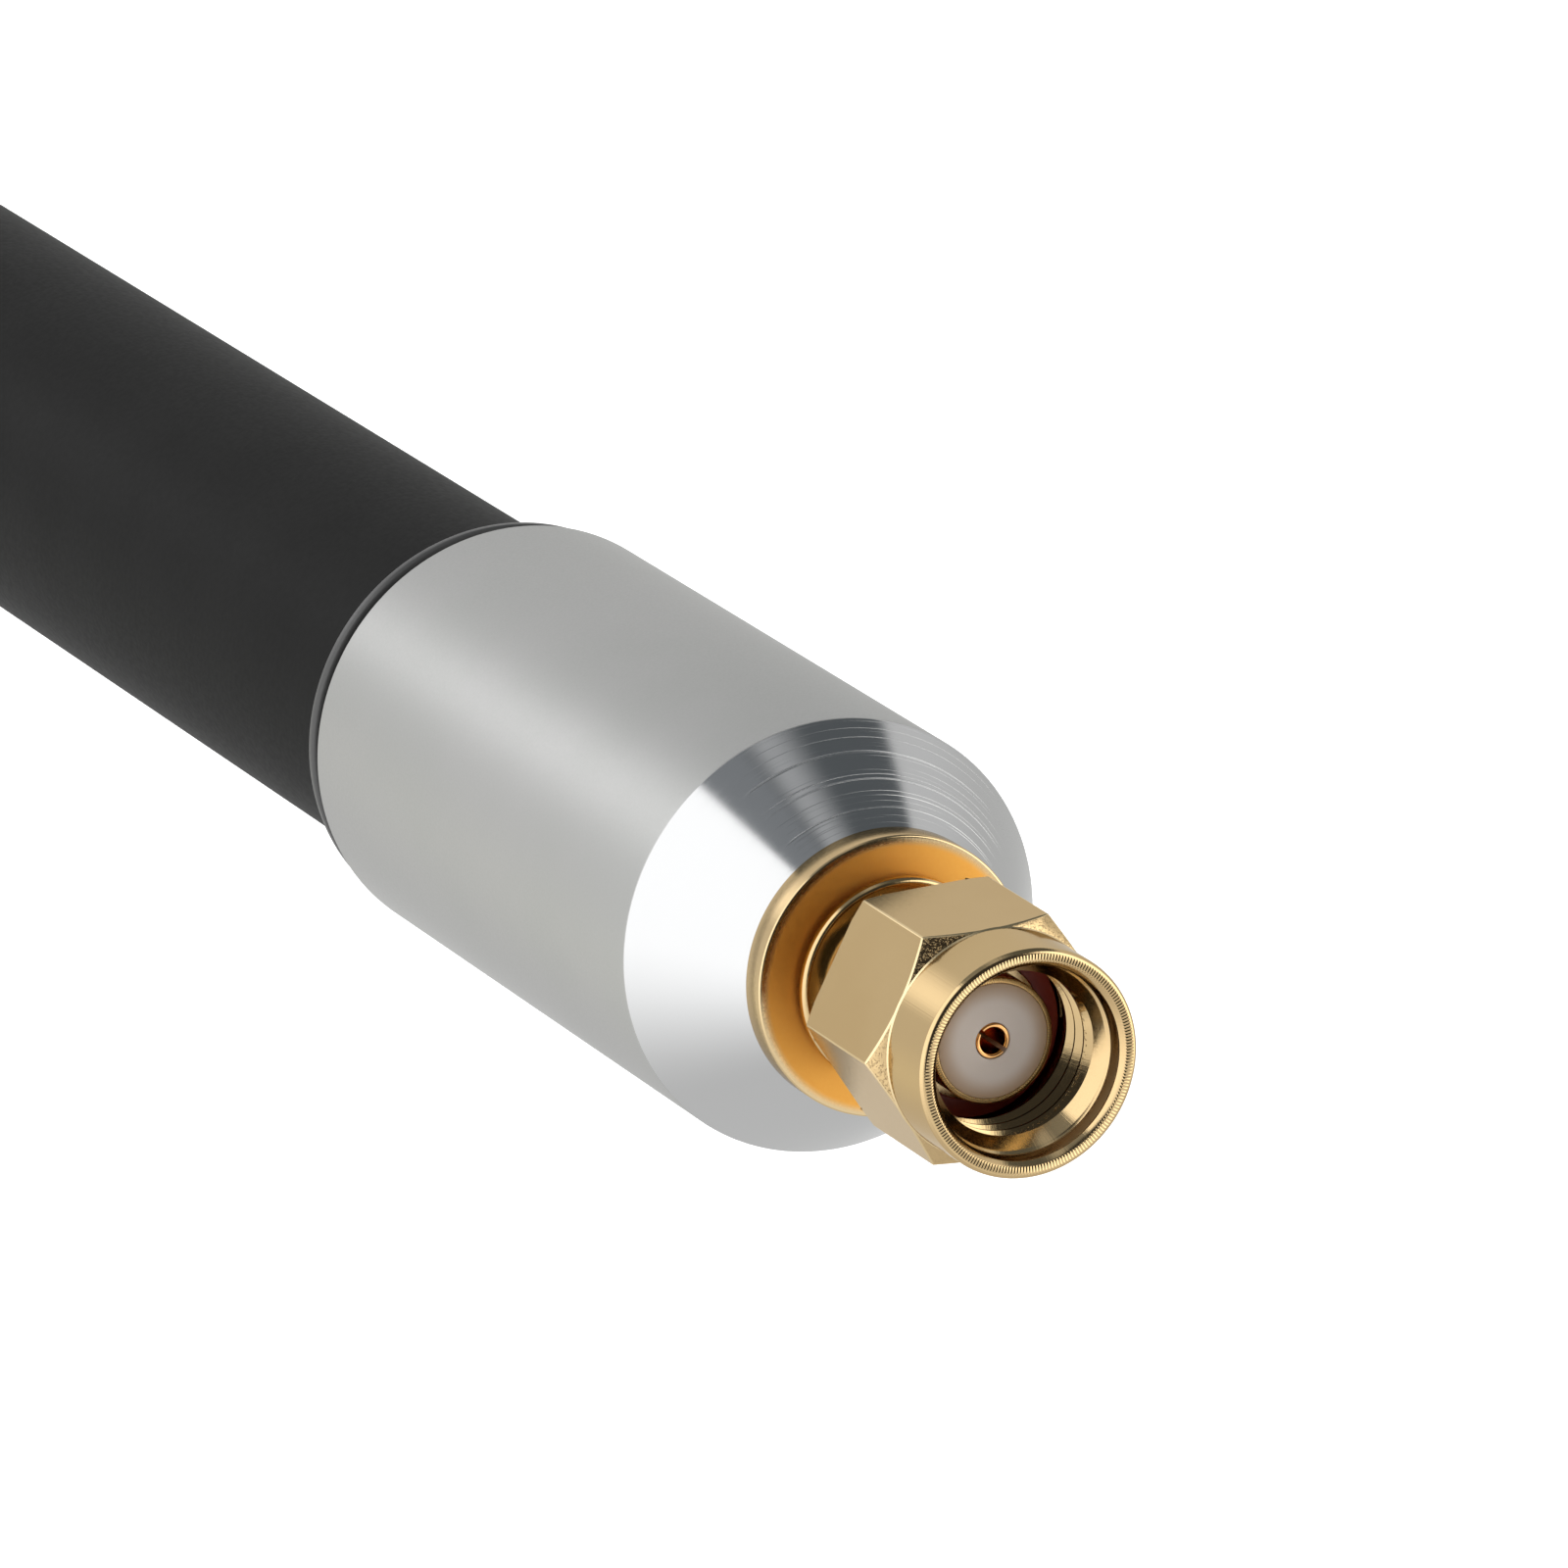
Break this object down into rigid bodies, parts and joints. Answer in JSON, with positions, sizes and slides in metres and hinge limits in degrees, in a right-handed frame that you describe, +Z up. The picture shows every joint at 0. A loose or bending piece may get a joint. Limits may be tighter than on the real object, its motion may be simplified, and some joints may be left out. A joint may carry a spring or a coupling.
{
  "type": "fiberglass lte antenna",
  "caption": "Rod antenna: a black fibreglass tube in a matt metal collar with a turned cone, and a gold screw-on coaxial plug with a loose hexagonal nut.",
  "frame": {"origin": "on the antenna's axis at the face of the plug's shell, where the centre socket opens", "axes": "+Y along the axis from the plug to the tube's end, -Y the way a mating jack leaves, +Z up in the pose of the picture, +X to the right seen from the plug"},
  "size_m": [0.016, 0.201, 0.016],
  "materials": {
    "gold_plating": "gold-plated, turned",
    "spring_bronze": "bare",
    "white_insulator": "satin",
    "red_gasket": "matt",
    "blasted_metal": "blasted, with a bright turned cone",
    "black_rubber": "satin",
    "black_fibreglass": "satin",
    "black_cap": "satin",
    "plain_steel": "plated",
    "tinned_wire": "tinned",
    "brown_jacket": "gloss",
    "green_board": "satin",
    "bare_copper": "bare copper",
    "solder": "bright",
    "grey_foam": "foam"
  },
  "bodies": {
    "antenna": {"connector_body": "gold_plating", "interface_gasket": "red_gasket", "centre_contact": "gold_plating", "front_insulator": "white_insulator", "rear_insulator": "white_insulator", "flange_seal": "black_rubber", "lock_washer": "plain_steel", "clamp_nut": "plain_steel", "collar": "blasted_metal", "crimp_ferrule": "gold_plating", "coax_braid": "tinned_wire", "coax_jacket": "brown_jacket", "coax_insulation": "white_insulator", "coax_core": "tinned_wire", "tube_seal": "black_rubber", "radome_tube": "black_fibreglass", "end_cap": "black_cap", "circuit_board": "green_board", "upper_radiator": "bare_copper", "lower_radiator": "bare_copper", "feed_solder": "solder", "braid_solder": "solder", "board_spacer_1": "grey_foam", "board_spacer_2": "grey_foam", "board_spacer_3": "grey_foam"},
    "ring": {"retaining_ring": "spring_bronze"},
    "nut": {"coupling_nut": "gold_plating"}
  },
  "joints": [
    {"name": "nut_float", "type": "slide", "parent": "antenna", "child": "ring", "axis": [0, 1, 0], "range_m": [0, 0.0003]},
    {"name": "nut_spin", "type": "hinge", "parent": "ring", "child": "nut", "pos_m": [0, 0, 0], "axis": [0, -1, 0], "continuous": true}
  ]
}
